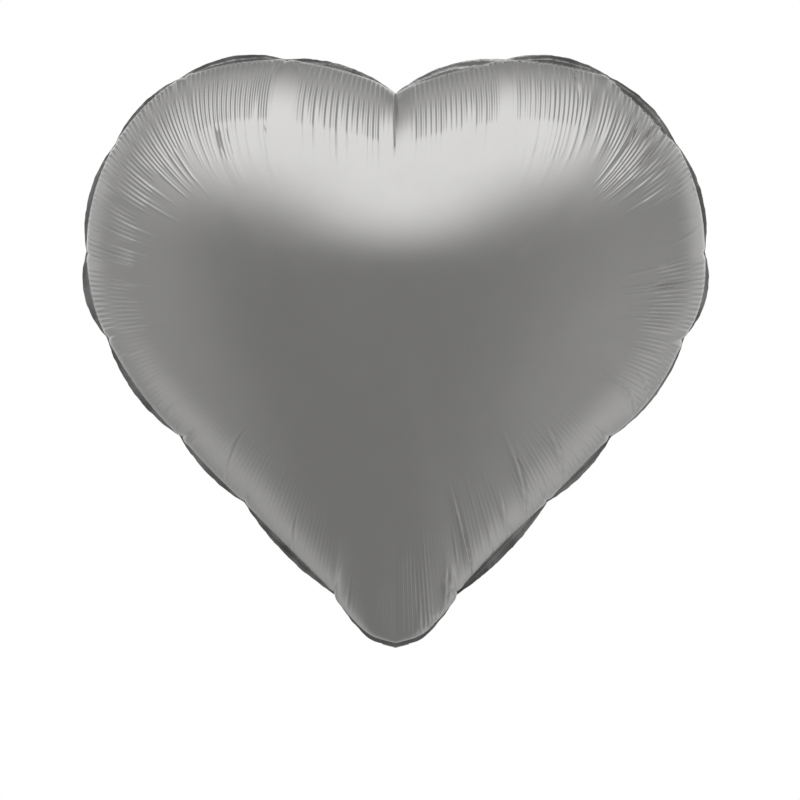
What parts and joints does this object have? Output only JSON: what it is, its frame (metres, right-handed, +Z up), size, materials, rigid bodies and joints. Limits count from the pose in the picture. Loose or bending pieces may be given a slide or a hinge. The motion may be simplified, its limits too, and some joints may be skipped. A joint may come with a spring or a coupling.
{
  "type": "heart-shaped foil balloon",
  "caption": "Inflated heart-shaped foil party balloon with a crimped edge seal, a folded-up fill tail and a flat self-sealing valve.",
  "frame": {"origin": "lowest point of the rim at the tip of the heart, on the plane where the two foil sheets are sealed together", "axes": "+Z up from the tip to the cleft, +X to the right seen from the front, -Y towards the front; Y = 0 is the plane of the seal"},
  "size_m": [0.3596, 0.18, 0.3402],
  "materials": {
    "foil": "satin",
    "heat_seal": "satin",
    "valve_film": "soft gloss",
    "release_ink": "matte"
  },
  "bodies": {
    "balloon": {"front_panel": "foil", "back_panel": "foil", "edge_weld": "heat_seal", "neck_weld": "heat_seal", "valve_release_print": "release_ink"},
    "valve_sleeve": {"valve_back_film": "valve_film", "valve_weld_left": "valve_film", "valve_weld_right": "valve_film"},
    "valve_lip": {"valve_front_film": "valve_film"},
    "tail": {"tail_front_film": "foil", "tail_back_film": "foil", "tail_weld_left": "heat_seal", "tail_weld_right": "heat_seal", "mouth_front_film": "valve_film", "mouth_back_film": "valve_film", "mouth_weld_left": "valve_film", "mouth_weld_right": "valve_film"}
  },
  "joints": [
    {"name": "tail_fold", "type": "hinge", "parent": "balloon", "child": "tail", "pos_m": [0, 0.0013, 0.0012], "axis": [1, 0, 0], "range_deg": [-144, 0]},
    {"name": "valve_swing", "type": "hinge", "parent": "balloon", "child": "valve_sleeve", "pos_m": [0, 0, 0.0111], "axis": [1, 0, 0], "range_deg": [-20, 20]},
    {"name": "valve_lip_open", "type": "hinge", "parent": "valve_sleeve", "child": "valve_lip", "pos_m": [0, -0.00005, 0.0112], "axis": [1, 0, 0], "range_deg": [0, 6]}
  ]
}
